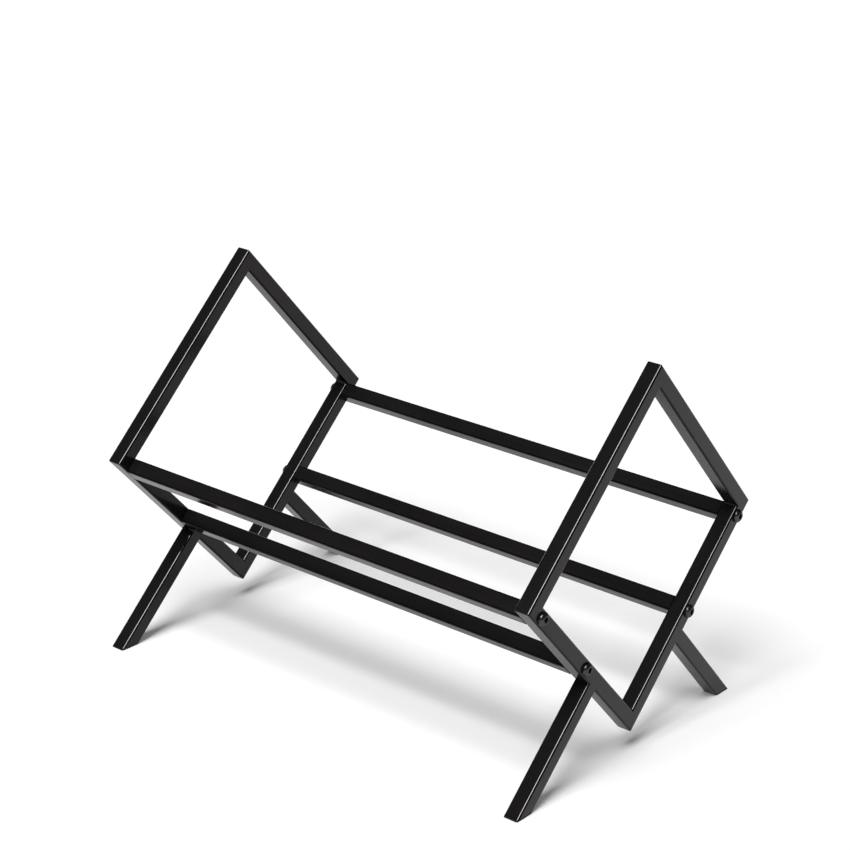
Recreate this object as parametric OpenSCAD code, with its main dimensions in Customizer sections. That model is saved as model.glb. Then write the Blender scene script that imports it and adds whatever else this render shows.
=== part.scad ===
// Open storage stand: two square end frames that stand on a corner, joined by four
// crossbars that make a V-shaped cradle. Millimetres, +Z up.
// X runs along the crossbars, -Y is the front, and Z = 0 is the floor.

/* [Overall] */
// Length along the crossbars, over both end frames
overall_length = 406; // [300:1:600]
// Outer length of each side of a square end frame
frame_side = 205; // [180:1:260]
// Height of a frame's bottom corner above the floor
corner_height = 16.5; // [6:0.5:60]

/* [Tube] */
// Outside width of the square tube
tube_width = 12.7; // [11:0.1:14]
// Wall of the square tube
tube_wall = 1.2; // [0.8:0.1:1.6]
// Rounding of the tube's long edges
tube_rounding = 1.5; // [0.5:0.1:2]

/* [Legs] */
// From the bottom corner, along a rail, to the middle of its leg
leg_place = 82.5; // [60:0.5:120]

/* [Crossbars] */
// From the bottom corner, along a rail, to the middle of its lower bar
lower_bar_place = 102; // [60:1:130]
// From the side corner, along a rail, to the middle of its upper bar
upper_bar_inset = 18; // [8:0.5:40]

/* [Screws] */
// Thread diameter of the screws
screw_thread = 6; // [5:0.5:6]
// Length of a screw below its head
screw_length = 30; // [20:1:36]
// Diameter of a screw's head
head_width = 10.5; // [9.5:0.1:11]
// Height of a screw's head
head_height = 3.3; // [2.6:0.1:4]
// Straight rim below the dome of a screw's head
head_rim = 0.6; // [0.2:0.1:1.2]
// Width of the flat on top of a screw's head
head_flat = 5.8; // [5.2:0.1:7]
// Width across flats of the hex socket
socket_width = 4; // [3:0.5:4.5]
// Depth of the hex socket
socket_depth = 2.1; // [1:0.1:2.4]

/* [Inserts and plugs] */
// Length of the threaded insert in a crossbar's end
insert_length = 20; // [10:1:40]
// Thickness of the foot plug's sole, below the leg
sole_thickness = 1.2; // [0.6:0.2:3]
// How far the foot plug reaches up into the leg, above its shorter edge
peg_reach = 8; // [3:1:30]

/* [Welds] */
// Leg of the fillet weld beads
weld_leg = 1; // [0.5:0.25:3]

/* [Clearances] */
// Between a screw and the hole through a rail, on the radius
hole_gap = 0.3; // [0.1:0.05:0.6]
// Between a screw and the thread it turns in, on the radius
thread_gap = 0.05; // [0.02:0.01:0.1]
// Between an insert or peg and the tube's bore, on each side
bore_gap = 0.1; // [0.05:0.05:0.3]

/* [Hidden] */
$fn = 48;
SIDES = ["left", "right"];
ROWS = ["front", "rear"];
LEVELS = ["upper", "lower"];

// Names of the pieces that there is one of for each leg, and for each end of each bar
function each_corner(piece) = [for (side = SIDES, row = ROWS) str(side, "_", row, "_", piece)];
function each_bar_end(piece) =
    [for (side = SIDES, row = ROWS, level = LEVELS) str(side, "_", row, "_", level, "_", piece)];

steel_colour = "#1b1a1c";
weld_colour = "#232224";
plastic_colour = "#141414";
zinc_colour = "#8c8f92";
screw_colour = "#2a2a2c";

// The frame's plane is drawn as a square that lies along Y and Z, with its bottom corner
// at the origin, and is then tilted so that it stands on that corner.
frame_tilt = 45;
tube_bore = tube_width - 2 * tube_wall;
frame_x = (overall_length - tube_width) / 2;
bar_length = overall_length - 2 * tube_width;
upper_bar_place = frame_side - upper_bar_inset;
leg_near = leg_place - tube_width / 2;
leg_far = leg_place + tube_width / 2;
plug_width = tube_bore - 2 * bore_gap;
hole_radius = screw_thread / 2 + hole_gap;
thread_radius = screw_thread / 2 + thread_gap;
// How far a cutting shape reaches past the face that it cuts
overrun = 1;

// How far a leg's edge at this place reaches down to a level above the floor
function drop_to(level, place) = place + (corner_height - level) / sin(frame_tilt);

function bar_place(level) = level == "upper" ? upper_bar_place : lower_bar_place;

// Solid square with rounded corners, centred
module rounded_square(width, rounding) {
    flat = width - 2 * rounding;
    square([width, flat], center = true);
    square([flat, width], center = true);
    for (x = [-1, 1], y = [-1, 1])
        translate([x * flat / 2, y * flat / 2]) circle(r = rounding);
}

module tube_section() {
    difference() {
        rounded_square(tube_width, tube_rounding);
        square(tube_bore, center = true);
    }
}

// Side view in the frame's plane, given as Y and Z, with the tube's width in X
module side_plate(outline, width) {
    rotate([90, 0, 90]) linear_extrude(width, center = true) polygon(outline);
}

// Puts a piece of a rear half frame, drawn in the frame's plane, where it stands
module stand_on_corner(side, row) {
    translate([side == "left" ? -frame_x : frame_x, 0, corner_height])
        mirror([0, row == "front" ? 1 : 0, 0])
        rotate([frame_tilt, 0, 0]) children();
}

// Points +Z of a piece drawn about its own axis out of the stand's end, at a bar's end
module at_bar_end(side, row, level, x) {
    translate([side == "left" ? -x : x, 0, corner_height])
        mirror([0, row == "front" ? 1 : 0, 0])
        rotate([frame_tilt, 0, 0])
        translate([0, bar_place(level), tube_width / 2])
        rotate([0, side == "left" ? -90 : 90, 0]) children();
}

// One side of the square, along Y, mitred at both ends
module mitred_tube() {
    intersection() {
        translate([0, 0, tube_width / 2]) rotate([-90, 0, 0])
            linear_extrude(frame_side) tube_section();
        side_plate([
            [0, 0],
            [frame_side, 0],
            [frame_side - tube_width, tube_width],
            [tube_width, tube_width]
        ], tube_width + overrun);
    }
}

// Lower side of the square, drilled through both walls for the bars' screws
module rail(side, row) {
    color(steel_colour) stand_on_corner(side, row) difference() {
        mitred_tube();
        for (level = LEVELS)
            translate([0, bar_place(level), tube_width / 2]) rotate([0, 90, 0])
                cylinder(h = tube_width + 2 * overrun, r = hole_radius, center = true);
    }
}

// Upper side of the square
module riser(side, row) {
    color(steel_colour) stand_on_corner(side, row)
        translate([0, frame_side, 0]) rotate([90, 0, 0]) mitred_tube();
}

// Stretch of a leg that has the given section. Its top edges are given along the leg, above
// the rail's outer face, and it ends level, at this height above the floor.
module leg_part(near_top, far_top, level) {
    intersection() {
        translate([0, leg_place, -drop_to(0, leg_far)])
            linear_extrude(drop_to(0, leg_far)) children();
        side_plate([
            [leg_near, near_top],
            [leg_far, far_top],
            [leg_far, -drop_to(level, leg_far)],
            [leg_near, -drop_to(level, leg_near)]
        ], tube_width + overrun);
    }
}

// Butts against the outer face of the rail and is cut level above the foot's sole
module leg(side, row) {
    color(steel_colour) stand_on_corner(side, row) leg_part(0, 0, sole_thickness) tube_section();
}

// Sole under the leg's cut end, with a peg that is pressed up into its bore
module foot_plug(side, row) {
    sole_near_top = -drop_to(sole_thickness, leg_near);
    sole_far_top = -drop_to(sole_thickness, leg_far);
    peg_top = sole_near_top + peg_reach;
    peg_near = leg_place - plug_width / 2;
    peg_far = leg_place + plug_width / 2;
    color(plastic_colour) stand_on_corner(side, row) {
        leg_part(sole_near_top, sole_far_top, 0) rounded_square(tube_width, tube_rounding);
        side_plate([
            [peg_near, peg_top],
            [peg_far, peg_top],
            [peg_far, -drop_to(sole_thickness / 2, peg_far)],
            [peg_near, -drop_to(sole_thickness / 2, peg_near)]
        ], plug_width);
    }
}

// Bead in the corner at this place, which fills the quarter that faces y_way and z_way
module weld_bead(place, y_way, z_way) {
    // The middle of its face, as a share of the leg: 0.5 is flat and more is full
    bulge = 0.62;
    side_plate([
        place,
        place + [y_way * weld_leg, 0],
        place + [y_way * weld_leg, z_way * weld_leg] * bulge,
        place + [0, z_way * weld_leg]
    ], tube_width - 2 * tube_rounding);
}

// Beads on the inner side of the legs' roots and in the inner corners of the square
module frame_welds(side) {
    inner_near = tube_width;
    inner_far = frame_side - tube_width;
    color(weld_colour) {
        for (row = ROWS) stand_on_corner(side, row) {
            weld_bead([leg_near, 0], -1, -1);
            weld_bead([inner_far, inner_near], -1, 1);
        }
        stand_on_corner(side, "rear") {
            weld_bead([inner_near, inner_near], 1, 1);
            weld_bead([inner_far, inner_far], -1, -1);
        }
    }
}

// Straight tube between the end frames, square with the rails that carry it
module crossbar(row, level) {
    color(steel_colour) translate([0, 0, corner_height])
        mirror([0, row == "front" ? 1 : 0, 0])
        rotate([frame_tilt, 0, 0])
        translate([0, bar_place(level), tube_width / 2]) rotate([0, 90, 0])
        linear_extrude(bar_length, center = true) tube_section();
}

// Tapped block in the bar's end, flush with it
module threaded_insert(side, row, level) {
    color(zinc_colour) at_bar_end(side, row, level, bar_length / 2) difference() {
        translate([0, 0, -insert_length])
            linear_extrude(insert_length) square(plug_width, center = true);
        translate([0, 0, -insert_length - overrun])
            cylinder(h = insert_length + 2 * overrun, r = thread_radius);
    }
}

// Button head with a hex socket, seated on the outer face of the rail
module button_screw(side, row, level) {
    rim_radius = head_width / 2;
    flat_radius = head_flat / 2;
    // The dome is part of a sphere through the edge of the rim and the edge of the flat
    dome_centre = (flat_radius ^ 2 + head_height ^ 2 - rim_radius ^ 2 - head_rim ^ 2)
        / (2 * (head_height - head_rim));
    dome_radius = sqrt(rim_radius ^ 2 + (head_rim - dome_centre) ^ 2);
    point_bevel = 0.8;
    color(screw_colour) at_bar_end(side, row, level, overall_length / 2) difference() {
        union() {
            intersection() {
                cylinder(h = head_height, r = rim_radius);
                translate([0, 0, dome_centre]) sphere(r = dome_radius);
            }
            translate([0, 0, point_bevel - screw_length])
                cylinder(h = screw_length - point_bevel + head_rim / 2, r = screw_thread / 2);
            translate([0, 0, -screw_length])
                cylinder(h = point_bevel, r1 = screw_thread / 2 - point_bevel, r2 = screw_thread / 2);
        }
        translate([0, 0, head_height - socket_depth])
            cylinder(h = socket_depth + overrun, d = socket_width / cos(30), $fn = 6);
    }
}

for (side = SIDES, row = ROWS) rail(side, row);
for (side = SIDES, row = ROWS) riser(side, row);
for (side = SIDES, row = ROWS) leg(side, row);
for (side = SIDES, row = ROWS)
    foot_plug(side, row);
for (side = SIDES) frame_welds(side);
for (row = ROWS, level = LEVELS)
    crossbar(row, level);
for (side = SIDES, row = ROWS, level = LEVELS)
    threaded_insert(side, row, level);
for (side = SIDES, row = ROWS, level = LEVELS)
    button_screw(side, row, level);
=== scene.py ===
import math
import bmesh
import bpy
from mathutils import Matrix, Vector


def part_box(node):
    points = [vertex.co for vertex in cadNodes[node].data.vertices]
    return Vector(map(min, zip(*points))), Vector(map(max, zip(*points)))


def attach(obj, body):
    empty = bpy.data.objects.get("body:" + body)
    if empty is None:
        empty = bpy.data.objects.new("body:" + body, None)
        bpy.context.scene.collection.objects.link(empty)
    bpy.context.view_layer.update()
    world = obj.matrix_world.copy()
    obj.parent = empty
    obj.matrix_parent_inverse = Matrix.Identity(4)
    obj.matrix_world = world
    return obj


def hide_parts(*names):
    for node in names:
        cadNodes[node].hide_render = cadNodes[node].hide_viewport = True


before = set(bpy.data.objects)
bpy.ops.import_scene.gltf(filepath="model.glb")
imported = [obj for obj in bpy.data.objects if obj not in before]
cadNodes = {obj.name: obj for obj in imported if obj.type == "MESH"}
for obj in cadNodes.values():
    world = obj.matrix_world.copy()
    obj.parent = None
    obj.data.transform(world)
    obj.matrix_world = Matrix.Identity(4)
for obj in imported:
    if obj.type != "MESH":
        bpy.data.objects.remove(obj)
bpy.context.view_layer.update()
print("CAD model loaded,", len(cadNodes), "nodes")

# All sizes below are in millimetres, and go to metres when a mesh is made
mm = 0.001
sides = ("left", "right")
rows = ("front", "rear")
levels = ("upper", "lower")
turnedDown = math.radians(45)  # the frames stand on a corner


def boxOf(name):
    low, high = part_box(name)
    return low / mm, high / mm


def toHundredth(value):
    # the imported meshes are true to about 0.001 mm
    return round(value, 2)


railLow, railHigh = boxOf("right_rear_rail")
_, riserHigh = boxOf("right_rear_riser")
barLow, barHigh = boxOf("rear_upper_bar")
tubeWidth = toHundredth(railHigh.x - railLow.x)


def alongRail(y, z):
    # how far up a rear rail, from the bottom corner, a point lies as seen from the side
    return toHundredth((y + z - railLow.z) * math.sin(turnedDown))


def placeOfBar(level):
    low, high = boxOf(f"rear_{level}_bar")
    return alongRail((low.y + high.y) / 2, (low.z + high.z) / 2)


def placeOfLeg():
    # a leg is square to its rail, so the outer edge of its sole tells where on the rail it starts
    plugLow, plugHigh = boxOf("right_rear_foot_plug")
    return alongRail(plugHigh.y, plugLow.z) - tubeWidth / 2


stand = {
    "frameX": (railLow.x + railHigh.x) / 2,
    "cornerHeight": railLow.z,
    "side": (riserHigh.z - railLow.z) * math.sin(turnedDown),
    "barLength": barHigh.x - barLow.x,
    "barPlace": {level: placeOfBar(level) for level in levels},
    "legPlace": placeOfLeg(),
}
print("frame side %.1f mm, bars %.1f mm" % (stand["side"], stand["barLength"]))


view = {
    "place": (982.85, -1281.35, 805.11),
    "azimuth": 37.6206,
    "elevation": 20.3277,
    "roll": 2.716,
    "focal": 2240.39,  # in pixels of the 850 pixel frame
    "frameWidth": 850,
    "sensor": 36.0,
    "clip": (0.05, 200),  # in metres
}


def makeCamera():
    azimuth, elevation, roll = (math.radians(view[k]) for k in ("azimuth", "elevation", "roll"))
    back = Vector((
        math.sin(azimuth) * math.cos(elevation),
        -math.cos(azimuth) * math.cos(elevation),
        math.sin(elevation),
    ))
    across = (-back).cross(Vector((0, 0, 1))).normalized()
    up = across.cross(-back)
    rightWay = across * math.cos(roll) + up * math.sin(roll)
    upWay = up * math.cos(roll) - across * math.sin(roll)
    data = bpy.data.cameras.new("photoCamera")
    data.sensor_width = view["sensor"]
    data.lens = view["focal"] * view["sensor"] / view["frameWidth"]
    data.clip_start, data.clip_end = view["clip"]
    camera = bpy.data.objects.new("photoCamera", data)
    bpy.context.collection.objects.link(camera)
    turn = Matrix((rightWay, upWay, back)).transposed().to_4x4()
    camera.matrix_world = Matrix.Translation(Vector(view["place"]) * mm) @ turn
    bpy.context.scene.camera = camera


makeCamera()
print("camera placed")


def addNode(tree, kind, inputs=None, **settings):
    # an input is either a socket to link from or a value to set
    made = tree.nodes.new(kind)
    for key, value in settings.items():
        setattr(made, key, value)
    for socket, value in (inputs or {}).items():
        if isinstance(value, bpy.types.NodeSocket):
            tree.links.new(value, made.inputs[socket])
        else:
            made.inputs[socket].default_value = value
    return made


def mathNode(tree, operation, first, second, clamp=False):
    made = addNode(tree, "ShaderNodeMath", {0: first, 1: second}, operation=operation, use_clamp=clamp)
    return made.outputs[0]


def mapRange(tree, value, fromRange=(0, 1), toRange=(0, 1), **settings):
    made = addNode(tree, "ShaderNodeMapRange", {
        "Value": value,
        "From Min": fromRange[0], "From Max": fromRange[1],
        "To Min": toRange[0], "To Max": toRange[1],
    }, **settings)
    return made.outputs["Result"]


def newMaterial(name):
    material = bpy.data.materials.new(name)
    material.use_nodes = True
    material.node_tree.nodes.clear()
    return material, material.node_tree


studio = {
    "keyFrom": (0.08, -0.53, 0.83),
    "keyStrength": 3.5,
    "keyAngle": 30.0,
    "coveTop": (1.0, 6.0),  # degrees above the horizon where the white cove ends
    "ceiling": 0.08,
    "floorColour": (0.90, 0.90, 0.90, 1),
    "floorLift": 0.12,  # what the eye and the gloss see on top of the lit floor
    "floorSize": 60.0,  # in metres
}


def hangKey():
    lamp = bpy.data.lights.new("softKey", "SUN")
    lamp.energy = studio["keyStrength"]
    lamp.angle = math.radians(studio["keyAngle"])
    key = bpy.data.objects.new("softKey", lamp)
    bpy.context.collection.objects.link(key)
    key.rotation_mode = "QUATERNION"
    key.rotation_quaternion = (-Vector(studio["keyFrom"])).to_track_quat("-Z", "Y")


def paintCove():
    world = bpy.data.worlds.new("cove")
    bpy.context.scene.world = world
    world.use_nodes = True
    tree = world.node_tree
    tree.nodes.clear()
    way = addNode(tree, "ShaderNodeTexCoord").outputs["Generated"]
    height = addNode(tree, "ShaderNodeSeparateXYZ", {"Vector": way}).outputs["Z"]
    whiteEnds = [math.sin(math.radians(angle)) for angle in studio["coveTop"]]
    level = mapRange(tree, height, whiteEnds, (1.0, studio["ceiling"]), interpolation_type="SMOOTHSTEP")
    light = addNode(tree, "ShaderNodeBackground", {"Color": (1, 1, 1, 1), "Strength": level})
    addNode(tree, "ShaderNodeOutputWorld", {"Surface": light.outputs[0]})


def layFloor():
    half = studio["floorSize"] / 2
    corners = [(-half, -half, 0), (half, -half, 0), (half, half, 0), (-half, half, 0)]
    mesh = bpy.data.meshes.new("floor")
    mesh.from_pydata(corners, [], [(0, 1, 2, 3)])
    floor = bpy.data.objects.new("floor", mesh)
    bpy.context.collection.objects.link(floor)
    material, tree = newMaterial("paleFloor")
    matt = addNode(tree, "ShaderNodeBsdfDiffuse", {"Color": studio["floorColour"]})
    rays = addNode(tree, "ShaderNodeLightPath").outputs
    seen = mathNode(tree, "ADD", rays["Is Camera Ray"], rays["Is Glossy Ray"], True)
    seen = mathNode(tree, "ADD", seen, rays["Is Transmission Ray"], True)
    lift = mathNode(tree, "MULTIPLY", seen, studio["floorLift"])
    glow = addNode(tree, "ShaderNodeEmission", {"Color": (1, 1, 1, 1), "Strength": lift})
    both = addNode(tree, "ShaderNodeAddShader", {0: matt.outputs[0], 1: glow.outputs[0]})
    addNode(tree, "ShaderNodeOutputMaterial", {"Surface": both.outputs[0]})
    mesh.materials.append(material)


hangKey()
paintCove()
layFloor()
bpy.context.scene.view_settings.view_transform = "Standard"
print("studio lit")


texture = {
    # the height in its noise at which each of these starts, and at which it is full
    "tips": (0.55, 0.75),
    "clouds": (0.35, 0.65),
    "patches": (0.42, 0.68),
    "meanHeight": 0.5,
    "streakScale": (420, 14, 420),  # streaks a metre, drawn out along the piece
    "edgePower": 2.0,  # more keeps the rubbing closer to the very edge
}


def newGroup(name, inputs, outputs):
    # an input without a value is a vector
    group = bpy.data.node_groups.new(name, "ShaderNodeTree")
    for socket, value in inputs.items():
        kind = "NodeSocketVector" if value is None else "NodeSocketFloat"
        made = group.interface.new_socket(socket, in_out="INPUT", socket_type=kind)
        if value is not None:
            made.default_value = value
    for socket in outputs:
        group.interface.new_socket(socket, in_out="OUTPUT", socket_type="NodeSocketFloat")
    return group, group.nodes.new("NodeGroupInput").outputs, group.nodes.new("NodeGroupOutput").inputs


def noise(tree, vector, scale, detail=2.0, roughness=0.5):
    return addNode(
        tree, "ShaderNodeTexNoise",
        {"Vector": vector, "Scale": scale, "Detail": detail, "Roughness": roughness},
    ).outputs["Fac"]


def sizedNoise(tree, given, size, **settings):
    # noise on the group's own vector, whose features are about the given millimetres wide
    return noise(tree, given["Vector"], mathNode(tree, "DIVIDE", 1 / mm, given[size]), **settings)


def mixValue(tree, share, first, second):
    return addNode(
        tree, "ShaderNodeMix", {"Factor": share, "A": first, "B": second}, data_type="FLOAT",
    ).outputs["Result"]


def mixColour(tree, share, first, second):
    # the Mix node's colours are its inputs 6 and 7 and its output 2
    made = addNode(tree, "ShaderNodeMix", {0: share, 6: first, 7: second}, data_type="RGBA")
    return made.outputs[2]


# Orange peel with a finer grain on top, as a height, and the grain's tips as a mask
def makeSurfaceGrain():
    group, given, out = newGroup(
        "surfaceGrain",
        {"Vector": None, "Peel Size": 1.8, "Grain Size": 0.7, "Grain Share": 0.4},
        ("Height", "Tips"),
    )
    peel = sizedNoise(group, given, "Peel Size", detail=1.0)
    grain = sizedNoise(group, given, "Grain Size", roughness=0.6)
    group.links.new(mixValue(group, given["Grain Share"], peel, grain), out["Height"])
    group.links.new(mapRange(group, grain, texture["tips"]), out["Tips"])
    return group


# Soft clouding of the finish, with faint streaks that run along the piece
def makeHandling():
    group, given, out = newGroup(
        "handling",
        {"Vector": None, "Along": None, "Cloud Size": 60.0, "Streak Share": 0.4},
        ("Mask",),
    )
    cloud = sizedNoise(group, given, "Cloud Size", detail=3.0)
    drawn = addNode(
        group, "ShaderNodeMapping", {"Vector": given["Along"], "Scale": texture["streakScale"]})
    streak = noise(group, drawn.outputs[0], scale=1.0)
    mixed = mixValue(group, given["Streak Share"], cloud, streak)
    group.links.new(mapRange(group, mixed, texture["clouds"]), out["Mask"])
    return group


# Rubbed edges: the edge value of the mesh, broken up so that it comes and goes
def makeEdgeRub():
    group, given, out = newGroup(
        "edgeRub", {"Vector": None, "Edge": 0.0, "Patch Size": 9.0, "Amount": 0.5}, ("Mask",),
    )
    patch = sizedNoise(group, given, "Patch Size", detail=4.0, roughness=0.65)
    onEdge = mathNode(group, "POWER", given["Edge"], texture["edgePower"])
    rubbed = mathNode(group, "MULTIPLY", onEdge, mapRange(group, patch, texture["patches"]))
    group.links.new(mathNode(group, "MULTIPLY", rubbed, given["Amount"], True), out["Mask"])
    return group


surfaceGrain, handling, edgeRub = makeSurfaceGrain(), makeHandling(), makeEdgeRub()


def placeGroup(tree, group, inputs):
    return addNode(tree, "ShaderNodeGroup", inputs, node_tree=group).outputs


def readMesh(tree, name):
    return addNode(tree, "ShaderNodeAttribute", attribute_name=name).outputs


def makeFinish(name, look):
    material, tree = newMaterial(name)
    place = addNode(tree, "ShaderNodeTexCoord").outputs["Object"]
    along = readMesh(tree, "along")["Vector"]
    # on the tubes these masks carry a painted edge shade and a painted highlight coat, beside rubbed wear
    masks = {key: readMesh(tree, key)["Fac"] for key in ("edge", "highlightCoat")}
    edge = masks["edge"]
    grain = placeGroup(tree, surfaceGrain, {
        "Vector": place, "Peel Size": look["peelSize"], "Grain Size": look["grainSize"],
        "Grain Share": look["grainShare"],
    })
    worn = placeGroup(tree, handling, {
        "Vector": place, "Along": along, "Cloud Size": look["cloudSize"], "Streak Share": look["streaks"],
    })["Mask"]
    rub = placeGroup(tree, edgeRub, {
        "Vector": place, "Edge": edge, "Patch Size": look["rubPatch"], "Amount": look["rub"],
    })["Mask"]
    flecks = mathNode(tree, "MULTIPLY", grain["Tips"], look["fleck"])
    colour = mixColour(tree, worn, look["colour"], look["cloudColour"])
    colour = mixColour(tree, flecks, colour, look["fleckColour"])
    colour = mixColour(tree, rub, colour, look["rubColour"])
    rough = mapRange(tree, worn, toRange=look["roughness"])
    rough = mathNode(tree, "SUBTRACT", rough, mathNode(tree, "MULTIPLY", rub, look["rubShine"]), True)
    rough = mathNode(tree, "SUBTRACT", rough, mathNode(tree, "MULTIPLY", edge, look["edgeShine"]), True)
    relief = mathNode(tree, "SUBTRACT", grain["Height"], texture["meanHeight"])
    kept = mathNode(tree, "SUBTRACT", 1.0, mathNode(tree, "MULTIPLY", edge, look["edgeCalm"]))
    bump = addNode(tree, "ShaderNodeBump", {
        "Height": mathNode(tree, "MULTIPLY", relief, kept), "Strength": 1.0, "Distance": look["depth"] * mm,
    })
    shader = addNode(tree, "ShaderNodeBsdfPrincipled", {
        "Base Color": colour, "Roughness": rough, "Normal": bump.outputs[0],
        "Metallic": masks.get(look["metallic"], look["metallic"]),
        "IOR": look["ior"], "Specular Tint": look["glossTint"],
        "Coat Weight": masks.get(look["coat"], look["coat"]),
        "Coat Roughness": look["coatRoughness"], "Coat IOR": look["coatIor"],
    })
    addNode(tree, "ShaderNodeOutputMaterial", {"Surface": shader.outputs[0]})
    return material


# Each finish holds what it changes of this one. Sizes and depth are in millimetres, and
# metallic and coat may name a mask of the mesh in place of a number: edge, the rounded edges, or the
# up-facing edges that get the painted highlight coat.
plainLook = {
    "peelSize": 1.4, "grainSize": 0.7, "grainShare": 0.6, "depth": 0.03,
    "fleck": 0.5, "cloudSize": 6.0, "streaks": 0.0,
    "rub": 0.0, "rubPatch": 2.0, "rubShine": 0.05, "edgeShine": 0.0, "edgeCalm": 0.5,
    "metallic": 0.0, "ior": 1.5, "glossTint": (1, 1, 1, 1),
    "coat": 0.0, "coatRoughness": 0.1, "coatIor": 1.5,
}
coatLook = {
    **plainLook,
    "colour": (0.0066, 0.0060, 0.0063, 1), "cloudColour": (0.0094, 0.0086, 0.0090, 1),
    "fleckColour": (0.0155, 0.0144, 0.015, 1), "rubColour": (0.035, 0.034, 0.034, 1),
    "peelSize": 1.9, "grainSize": 0.75, "grainShare": 0.45, "depth": 0.022,
    "fleck": 0.35, "cloudSize": 55.0, "streaks": 0.45,
    "rub": 0.3, "rubPatch": 9.0, "edgeShine": 0.06, "edgeCalm": 1.0,
    # edges are dark bare metal, a painted shade; only up-facing edges get the coat, a painted highlight
    "roughness": (0.14, 0.20), "metallic": "edge", "ior": 1.262, "glossTint": (1.0, 0.90, 0.97, 1),
    "coat": "highlightCoat", "coatRoughness": 0.07, "coatIor": 1.48,
}
plasticLook = {
    **plainLook,
    "colour": (0.0045, 0.0043, 0.0045, 1), "cloudColour": (0.0065, 0.0062, 0.0064, 1),
    "fleckColour": (0.010, 0.010, 0.010, 1), "rubColour": (0.012, 0.012, 0.012, 1),
    "peelSize": 0.9, "grainSize": 0.4, "grainShare": 0.7,
    "fleck": 0.3, "cloudSize": 12.0,
    "rub": 0.5, "rubPatch": 3.0,
    "roughness": (0.34, 0.44), "ior": 1.3,
}
screwLook = {
    **plainLook,
    "colour": (0.023, 0.022, 0.0225, 1), "cloudColour": (0.060, 0.057, 0.059, 1),
    "fleckColour": (0.14, 0.135, 0.13, 1), "rubColour": (0.11, 0.105, 0.10, 1),
    "peelSize": 1.6, "cloudSize": 2.5,
    "rub": 0.25, "rubPatch": 1.6, "rubShine": 0.06,
    "roughness": (0.3, 0.42), "metallic": 1.0, "glossTint": (0.3, 0.3, 0.3, 1),
    "coat": 0.5, "coatRoughness": 0.08,
}
zincLook = {
    **plainLook,
    "colour": (0.42, 0.43, 0.44, 1), "cloudColour": (0.52, 0.52, 0.50, 1),
    "fleckColour": (0.68, 0.68, 0.66, 1), "rubColour": (0.7, 0.7, 0.7, 1),
    "grainSize": 0.35, "depth": 0.015, "fleck": 0.4,
    "rubShine": 0.0, "edgeCalm": 0.0,
    "roughness": (0.32, 0.45), "metallic": 1.0,
}
finishes = {
    "black_powder_coat": makeFinish("blackPowderCoat", coatLook),
    "foot_plastic": makeFinish("mouldedPlastic", plasticLook),
    "black_steel": makeFinish("blackenedSteel", screwLook),
    "zinc_steel": makeFinish("zincPlate", zincLook),
}
print("finishes mixed")


def rowPlace(row, x=0.0):
    # here Y runs up a rail from the bottom corner, and Z points into the square
    turn = Matrix.Rotation(0 if row == "rear" else math.pi, 4, "Z")
    return Matrix.Translation((x, 0, stand["cornerHeight"])) @ turn @ Matrix.Rotation(turnedDown, 4, "X")


def halfFrame(side, row):
    return rowPlace(row, stand["frameX"] if side == "right" else -stand["frameX"])


skin = {
    "sharpAngle": 33,  # a larger turn between two faces stays a crease
    "flatWeight": 100,  # the most, so that the wide flats stay flat up to their roundings
    "highlightRise": (1 / 3, 1 / 2),  # how far up an edge faces, from no coat to a full one: the coat paints a highlight on edges facing the light
}


def finishPiece(name, mesh, edges, place, slot, replaced):
    # mesh is a bmesh in its own millimetres, edges holds each vertex's edge value,
    # for rubbed wear and, on the tubes, painted edge shade
    bmesh.ops.recalc_face_normals(mesh, faces=mesh.faces)
    for face in mesh.faces:
        face.smooth = True
    for line in mesh.edges:
        line.smooth = line.is_manifold and line.calc_face_angle(0) < math.radians(skin["sharpAngle"])
    along = mesh.verts.layers.float_vector.new("along")
    edge = mesh.verts.layers.float.new("edge")
    highlightCoat = mesh.verts.layers.float.new("highlightCoat")
    for vertex, value in zip(mesh.verts, edges):
        vertex[along] = vertex.co * mm
        vertex[edge] = value
    mesh.transform(Matrix.Scale(mm, 4) @ place)
    mesh.normal_update()
    # the coat that paints the highlight goes only on edges that face up, where the light falls
    bare, full = skin["highlightRise"]
    for vertex in mesh.verts:
        faceWays = [face.normal * face.calc_area() for face in vertex.link_faces]
        upward = sum(faceWays, Vector()).normalized().z
        vertex[highlightCoat] = vertex[edge] * min(1.0, max(0.0, (upward - bare) / (full - bare)))
    data = bpy.data.meshes.new(name)
    mesh.to_mesh(data)
    mesh.free()
    data.materials.append(finishes[slot])
    piece = bpy.data.objects.new(name, data)
    bpy.context.collection.objects.link(piece)
    flats = piece.modifiers.new("evenFlats", "WEIGHTED_NORMAL")
    flats.keep_sharp = True
    flats.weight = skin["flatWeight"]
    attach(piece, "root")
    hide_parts(*replaced)


def ringStack(rings, loop=False):
    # joins rings of equal length into one skin, closed by flat ends or back on its first ring
    mesh = bmesh.new()
    made = [[mesh.verts.new(point) for point in ring] for ring in rings]
    pairs = list(zip(made, made[1:]))
    if loop:
        pairs.append((made[-1], made[0]))
    count = len(rings[0])
    for first, second in pairs:
        for i in range(count):
            j = (i + 1) % count
            mesh.faces.new((first[i], first[j], second[j], second[i]))
    if not loop:
        mesh.faces.new(made[0])
        mesh.faces.new(made[-1])
    return mesh


def markedStack(rings):
    # rings are pairs of points and the rubbed-edge value that they all have
    mesh = ringStack([ring for ring, _ in rings])
    return mesh, [value for ring, value in rings for _ in ring]


def pour(part, whole):
    # moves what one bmesh holds into another
    held = bpy.data.meshes.new("held")
    part.to_mesh(held)
    part.free()
    whole.from_mesh(held)
    bpy.data.meshes.remove(held)


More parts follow.
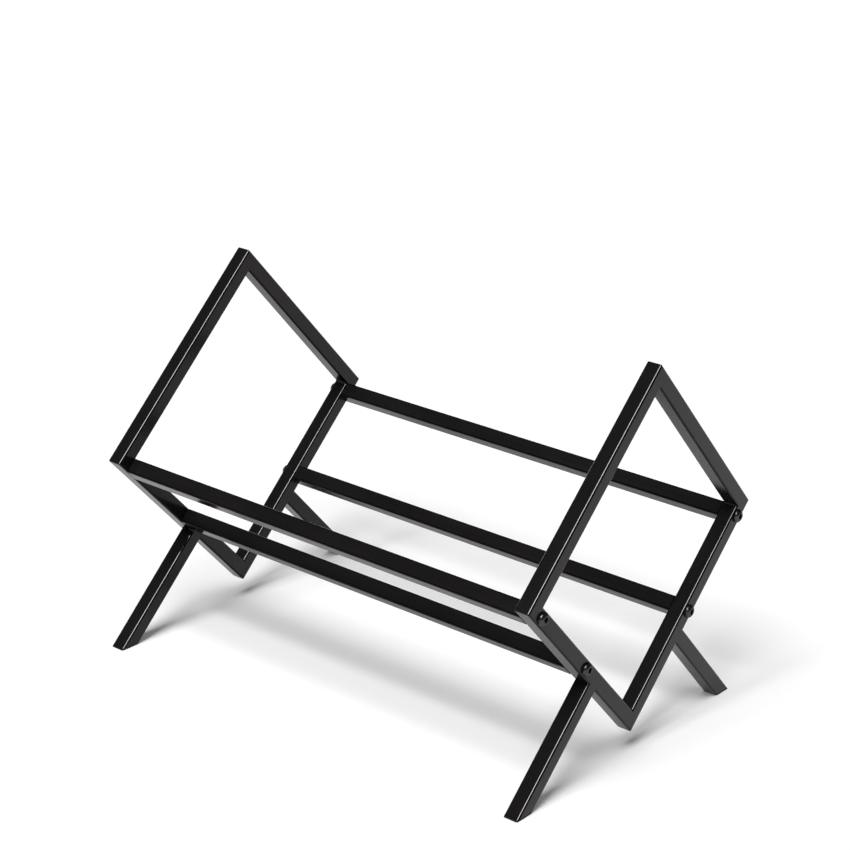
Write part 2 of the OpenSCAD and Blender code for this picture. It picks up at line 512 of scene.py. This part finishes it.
tube = {
    "wall": 1.2,
    "rounding": 1.5,
    "arcSteps": 7,
    "edgeRise": 2.3,  # how soon the rounding counts as an edge, as it turns away from a face
    "boreRounding": 0.35,
    "cornerRounding": 1.0,  # of the ground mitre at each corner of the square
    "cornerSteps": 5,
    "deburr": 0.25,
    "holeRadius": 3.3,
    "holeSides": 40,
}


def edgeValue(turn):
    # 0 where the rounding meets a face, and soon 1 as it turns away from it
    return min(1.0, tube["edgeRise"] * max(0.0, math.sin(2 * turn)))


def roundedSquare(size, rounding):
    # points round a square as (across, depth, edge value)
    points, reach, steps = [], size / 2 - rounding, tube["arcSteps"]
    for quarter in range(4):
        middle = math.radians(45 + 90 * quarter)
        x, y = math.copysign(reach, math.cos(middle)), math.copysign(reach, math.sin(middle))
        for step in range(steps + 1):
            onArc = math.radians(90) * step / steps
            turn = math.radians(90 * quarter) + onArc
            points.append((x + rounding * math.cos(turn), y + rounding * math.sin(turn), edgeValue(onArc)))
    return points


outerLine = roundedSquare(tubeWidth, tube["rounding"])
trimmedLine = roundedSquare(tubeWidth - 2 * tube["deburr"], tube["rounding"] - tube["deburr"])
boreLine = roundedSquare(tubeWidth - 2 * tube["wall"], tube["boreRounding"])


def mitreRings(line):
    # a tube along Y, its outer face down, cut at 45 degrees at both ends with the outer corner rounded
    rounding, steps, length = tube["cornerRounding"], tube["cornerSteps"], stand["side"]
    start = []
    for k in range(steps, -1, -1):
        turn, ring = math.radians(45) * k / steps, []
        for across, up, _ in line:
            depth = up + tubeWidth / 2
            if depth < rounding:
                reach = rounding - depth
                ring.append((across, rounding - reach * math.sin(turn), rounding - reach * math.cos(turn)))
            else:
                ring.append((across, depth + rounding * (1 - k / steps), depth))
        start.append(ring)
    end = [[(x, length - y, z) for x, y, z in ring] for ring in reversed(start)]
    return start + end


def hollowTube(outside, inside):
    # one skin that runs up the outside and back down the bore, with outerLine's edge values outside
    mesh = ringStack(outside + list(reversed(inside)), loop=True)
    edges = [value for _, _, value in outerLine] * len(outside)
    edges += [0.0] * (len(inside) * len(boreLine))
    return mesh, edges


def drill(mesh, places):
    # cuts round holes across the tube, through both walls
    body = bpy.data.meshes.new("drilled")
    mesh.to_mesh(body)
    blank = bpy.data.objects.new("drilled", body)
    bpy.context.collection.objects.link(blank)
    cutters = []
    for y in places:
        bit = bmesh.new()
        turn = Matrix.Translation((0, y, tubeWidth / 2)) @ Matrix.Rotation(math.radians(90), 4, "Y")
        bmesh.ops.create_cone(
            bit, cap_ends=True, segments=tube["holeSides"],
            radius1=tube["holeRadius"], radius2=tube["holeRadius"], depth=2 * tubeWidth, matrix=turn,
        )
        data = bpy.data.meshes.new("bit")
        bit.to_mesh(data)
        bit.free()
        cutter = bpy.data.objects.new("bit", data)
        bpy.context.collection.objects.link(cutter)
        cut = blank.modifiers.new("hole", "BOOLEAN")
        cut.operation, cut.solver, cut.object = "DIFFERENCE", "EXACT", cutter
        cutters.append(cutter)
    solid = blank.evaluated_get(bpy.context.evaluated_depsgraph_get())
    mesh.clear()
    mesh.from_mesh(solid.to_mesh())
    solid.to_mesh_clear()
    for helper in [blank] + cutters:
        data = helper.data
        bpy.data.objects.remove(helper)
        bpy.data.meshes.remove(data)


def drilledEdges(mesh):
    # the edge value of each vertex of a rail, from its place in the section, for rubbed wear and painted
    # edge shade
    flat = tubeWidth / 2 - tube["rounding"]
    hair, nearlyOut = 1e-4, 0.9 * tube["rounding"]
    values = []
    for vertex in mesh.verts:
        over = (abs(vertex.co.x) - flat, abs(vertex.co.z - tubeWidth / 2) - flat)
        onArc = min(over) > hair and math.hypot(*over) > nearlyOut
        values.append(edgeValue(math.atan2(over[1], over[0])) if onArc else 0.0)
    return values


def makeRail(side, row):
    name = f"{side}_{row}_rail"
    mesh, _ = hollowTube(mitreRings(outerLine), mitreRings(boreLine))
    drill(mesh, stand["barPlace"].values())
    edges = drilledEdges(mesh)
    finishPiece(name + "_tube", mesh, edges, halfFrame(side, row), "black_powder_coat", [name])


def makeRiser(side, row):
    name = f"{side}_{row}_riser"
    mesh, edges = hollowTube(mitreRings(outerLine), mitreRings(boreLine))
    upright = Matrix.Translation((0, stand["side"], 0)) @ Matrix.Rotation(math.radians(90), 4, "X")
    place = halfFrame(side, row) @ upright
    finishPiece(name + "_tube", mesh, edges, place, "black_powder_coat", [name])


def makeBar(row, level):
    name = f"{row}_{level}_bar"
    half, trim = stand["barLength"] / 2, tube["deburr"]
    lines = [(trimmedLine, -half), (outerLine, trim - half), (outerLine, half - trim), (trimmedLine, half)]
    outside = [[(x, y, z) for x, z, _ in line] for line, y in lines]
    inside = [[(x, y, z) for x, z, _ in boreLine] for y in (-half, half)]
    mesh, edges = hollowTube(outside, inside)
    place = rowPlace(row) @ Matrix.Translation((0, stand["barPlace"][level], tubeWidth / 2))
    place = place @ Matrix.Rotation(math.radians(90), 4, "Z")
    finishPiece(name + "_tube", mesh, edges, place, "black_powder_coat", [name])


def dropTo(level, place):
    # how far a line at this place along the rail runs down the leg to a level above the floor
    return place + (stand["cornerHeight"] - level) / math.sin(turnedDown)


legLow, _ = boxOf("right_rear_leg")
foot = {
    "sole": toHundredth(legLow.z),
    "soleRounding": 0.3,
    "soleMiddle": 0.3,  # inset and height of the rounding's middle, as shares of it
    "leastRounding": 0.2,
    "seam": 0.12,
    "rim": 1.6,
    "rimSlope": 0.2,
    "recess": 0.5,
    "pegWidth": 9.4,
    "pegRounding": 0.4,
    "pegTaper": 0.8,
    "pegLength": 8.0,
    "finWidth": 10.1,
    "finStart": 0.8,
    "finPitch": 2.4,
    "fins": 3,
    # the widths of a fin, and how far up it each of them lies
    "finShape": (("pegWidth", 0), ("finWidth", 0.25), ("finWidth", 0.7), ("pegWidth", 1.2)),
}


def legRing(line, top=None, level=None):
    # a ring of the leg's section, flat across at a height, or cut level with the floor
    ring = []
    for across, up, _ in line:
        place = stand["legPlace"] + up
        ring.append((across, place, top if level is None else -dropTo(level, place)))
    return ring


def makeLeg(side, row):
    name = f"{side}_{row}_leg"
    outside = [
        legRing(outerLine, top=tube["rounding"]),
        legRing(outerLine, level=foot["sole"] + tube["deburr"]),
        legRing(trimmedLine, level=foot["sole"]),
    ]
    inside = [legRing(boreLine, top=tube["rounding"]), legRing(boreLine, level=foot["sole"])]
    mesh, edges = hollowTube(outside, inside)
    finishPiece(name + "_tube", mesh, edges, halfFrame(side, row), "black_powder_coat", [name])


def makeFootPlug(side, row):
    name = f"{side}_{row}_foot_plug"
    sole, soft = foot["sole"], foot["soleRounding"]
    middle = soft * foot["soleMiddle"]

    def outline(inset):
        return roundedSquare(tubeWidth - 2 * inset, max(tube["rounding"] - inset, foot["leastRounding"]))

    def peg(size):
        return roundedSquare(size, foot["pegRounding"])

    rings = [
        (legRing(outline(foot["rim"]), level=foot["recess"]), 0),
        (legRing(outline(foot["rim"] - foot["rimSlope"]), level=0), 0),
        (legRing(outline(soft), level=0), 0),
        (legRing(outline(middle), level=middle), 1),
        (legRing(outline(0), level=soft), 1),
        (legRing(outline(0), level=sole - foot["seam"]), 0),
        (legRing(outline(foot["seam"]), level=sole), 0),
        (legRing(peg(foot["pegWidth"]), level=sole), 0),
    ]
    base = -dropTo(sole, stand["legPlace"] - foot["pegWidth"] / 2)
    for fin in range(foot["fins"]):
        low = base + foot["finStart"] + fin * foot["finPitch"]
        for size, rise in foot["finShape"]:
            rings.append((legRing(peg(foot[size]), top=low + rise), 0))
    rings.append((legRing(peg(foot["pegWidth"] - foot["pegTaper"]), top=base + foot["pegLength"]), 0))
    mesh, edges = markedStack(rings)
    finishPiece(name + "_moulding", mesh, edges, halfFrame(side, row), "foot_plastic", [name])


for side in sides:
    for row in rows:
        makeRail(side, row)
        makeRiser(side, row)
        makeLeg(side, row)
        makeFootPlug(side, row)
for row in rows:
    for level in levels:
        makeBar(row, level)
print("tubes and feet built")


bead = {
    "leg": 1.0,
    "fullness": 1.38,  # 1 is a full round and 2 a flat bevel
    "halfLength": 5.6,
    "taper": 0.8,
    "endSize": 0.35,  # of the full size, at the very ends
    "pitch": 1.0,
    "ripple": 0.06,
    "bow": 0.35,  # how far a ripple's middle runs ahead of its sides, in pitches
    "root": 0.4,  # how far the bead goes into the tubes
    "steps": 60,
    "arcSteps": 8,
    "seeds": {"rear": 0.37, "front": 0.81},  # so that no two beads of a frame ripple alike
}


def addBead(mesh, corner, yWay, zWay, seed):
    # a rippled fillet in the corner at (y, z), which fills the quarter that faces yWay and zWay
    rings = []
    for n in range(bead["steps"] + 1):
        x = bead["halfLength"] * (2 * n / bead["steps"] - 1)
        near = min(1.0, (bead["halfLength"] - abs(x)) / bead["taper"])
        roundEnd = math.sqrt(max(0.0, 1 - (1 - near) ** 2))
        size = bead["leg"] * (bead["endSize"] + (1 - bead["endSize"]) * roundEnd)
        ring = []
        for k in range(bead["arcSteps"] + 1):
            turn = k / bead["arcSteps"] * math.pi / 2
            crown = math.sin(2 * turn)
            phase = x / bead["pitch"] + bead["bow"] * crown + seed
            reach = size * (1 - bead["ripple"] * crown * abs(math.sin(math.pi * phase)))
            y = reach * max(0.0, math.cos(turn)) ** bead["fullness"]
            z = reach * max(0.0, math.sin(turn)) ** bead["fullness"]
            ring.append((x, corner[0] + yWay * y, corner[1] + zWay * z))
        ring.append((x, corner[0] - yWay * bead["root"], corner[1] - zWay * bead["root"]))
        rings.append(ring)
    made = ringStack(rings)
    bmesh.ops.recalc_face_normals(made, faces=made.faces)
    pour(made, mesh)


def makeWelds(side):
    legRoot = stand["legPlace"] - tubeWidth / 2
    low, high = tubeWidth, stand["side"] - tubeWidth
    whole = bmesh.new()
    for row in rows:
        part = bmesh.new()
        corners = [((legRoot, 0), -1, -1), ((high, low), -1, 1)]
        if row == "rear":
            corners += [((low, low), 1, 1), ((high, high), -1, -1)]
        for n, (corner, yWay, zWay) in enumerate(corners, 2):
            addBead(part, corner, yWay, zWay, bead["seeds"][row] * n)
        part.transform(halfFrame(side, row))
        pour(part, whole)
    name = f"{side}_frame_welds"
    edges = [0.0] * len(whole.verts)
    finishPiece(name + "_beads", whole, edges, Matrix.Identity(4), "black_powder_coat", [name])


for side in sides:
    makeWelds(side)
print("welds laid")


screwLow, screwHigh = boxOf("right_rear_upper_screw")
screw = {
    "headWidth": toHundredth(screwHigh.y - screwLow.y),
    "headHeight": toHundredth(screwHigh.x - railHigh.x),
    "length": toHundredth(railHigh.x - screwLow.x),
    "rim": 0.6,
    "rimBreak": 0.15,
    "rimRub": (0.4, 0.3),  # rubbed-edge values of the rim's upper and lower edge
    "flat": 5.8,
    "flatBreak": 0.12,
    "domeMiddle": 1.4,  # radius at which the dome's curve would be level
    "domeSteps": 10,
    "socket": 4.0,
    "socketDepth": 2.1,
    "lip": (0.2, 0.25),  # width and depth of the chamfer round the socket
    "drillRadius": 1.68,  # of the drilled hole that the socket was broached in
    "drillPoint": 0.7,
    "thread": 6.0,
    "threadDepth": 0.55,
    "flank": 1.6,  # more makes the flanks steeper
    "crest": 0.15,  # more leaves a wider flat on top
    "pitch": 1.0,
    "perTurn": 8,  # rings for each turn of the thread
    "runOut": 0.3,  # share of the depth that the last ring keeps
    "neck": 1.2,
    "underHead": 0.2,
    "tip": (0.8, 1.0),  # width and least length of the taper at the end
    "around": 48,
    # how far each screw is turned, in degrees that add up
    "spin": {"upper": 17, "lower": 43, "left": 9, "right": 0, "front": 0, "rear": 25},
}


def circle(radius, z, hexagon=0.0):
    # hexagon is the width across flats that the ring takes instead of the circle
    ring = []
    for n in range(screw["around"]):
        turn = 2 * math.pi * n / screw["around"]
        reach = radius
        if hexagon:
            reach = hexagon / 2 / math.cos((turn + math.pi / 6) % (math.pi / 3) - math.pi / 6)
        ring.append((reach * math.cos(turn), reach * math.sin(turn), z))
    return ring


def socketRings():
    top, socket = screw["headHeight"], screw["socket"]
    bottom, hair = top - screw["socketDepth"], 0.02
    lipWidth, lipDepth = screw["lip"]
    acrossCorners = socket / math.cos(math.pi / 6)
    return [
        (circle(hair, bottom - screw["drillPoint"]), 0),
        (circle(screw["drillRadius"], bottom), 0),
        (circle(0, bottom + hair, hexagon=socket), 0),
        (circle(0, top - lipDepth, hexagon=socket), 1),
        (circle(acrossCorners / 2 + lipWidth, top), 1),
    ]


def headRings():
    outer, flat, middle = screw["headWidth"] / 2, screw["flat"] / 2, screw["domeMiddle"]
    top, low, soft = screw["headHeight"], screw["rim"], screw["rimBreak"]
    last = math.acos((flat - middle) / (outer - middle))
    domeHeight = (top - low) / math.sin(last)
    upperRub, lowerRub = screw["rimRub"]
    rings = [(circle(flat - screw["flatBreak"], top), 0)]
    for k in range(screw["domeSteps"], -1, -1):
        turn = last * k / screw["domeSteps"]
        reach = middle + (outer - middle) * math.cos(turn)
        rings.append((circle(reach, low + domeHeight * math.sin(turn)), upperRub if k == 0 else 0))
    return rings + [(circle(outer, soft), lowerRub), (circle(outer - soft, 0), lowerRub)]


def threadRings():
    core, neck, pitch, perTurn = screw["thread"] / 2, screw["neck"], screw["pitch"], screw["perTurn"]
    under, (tipWidth, tipLength) = screw["underHead"], screw["tip"]
    rings = [(circle(core + under, 0), 0), (circle(core, -under), 0)]
    steps = int((screw["length"] - neck - tipLength) / pitch) * perTurn
    for n in range(steps + 1):  # the first ring has no cut yet, and ends the neck
        z = -neck - n * pitch / perTurn
        ease = min(1.0, n / perTurn, (steps - n) / perTurn + screw["runOut"])
        ring = []
        for x, y, _ in circle(core, z):
            phase = (z / pitch + math.atan2(y, x) / (2 * math.pi)) % 1.0
            groove = screw["flank"] * (1 - abs(2 * phase - 1)) - screw["crest"]
            cut = screw["threadDepth"] * ease * min(1.0, max(0.0, groove))
            share = (core - cut) / core
            ring.append((x * share, y * share, z))
        rings.append((ring, 0))
    return rings + [(circle(core - tipWidth, -screw["length"]), 0)]


def makeScrew(side, row, level):
    name = f"{side}_{row}_{level}_screw"
    mesh, edges = markedStack(socketRings() + headRings() + threadRings())
    outward = 1 if (side == "right") == (row == "rear") else -1
    seat = outward * (stand["frameX"] + tubeWidth / 2)
    spin = sum(screw["spin"][word] for word in (side, row, level))
    place = rowPlace(row) @ Matrix.Translation((seat, stand["barPlace"][level], tubeWidth / 2))
    place = place @ Matrix.Rotation(math.radians(90 * outward), 4, "Y")
    place = place @ Matrix.Rotation(math.radians(spin), 4, "Z")
    finishPiece(name + "_turned", mesh, edges, place, "black_steel", [name])


for side in sides:
    for row in rows:
        for level in levels:
            makeScrew(side, row, level)
            insert = cadNodes[f"{side}_{row}_{level}_insert"]
            insert.data.materials.clear()
            insert.data.materials.append(finishes["zinc_steel"])
print("screws turned in")
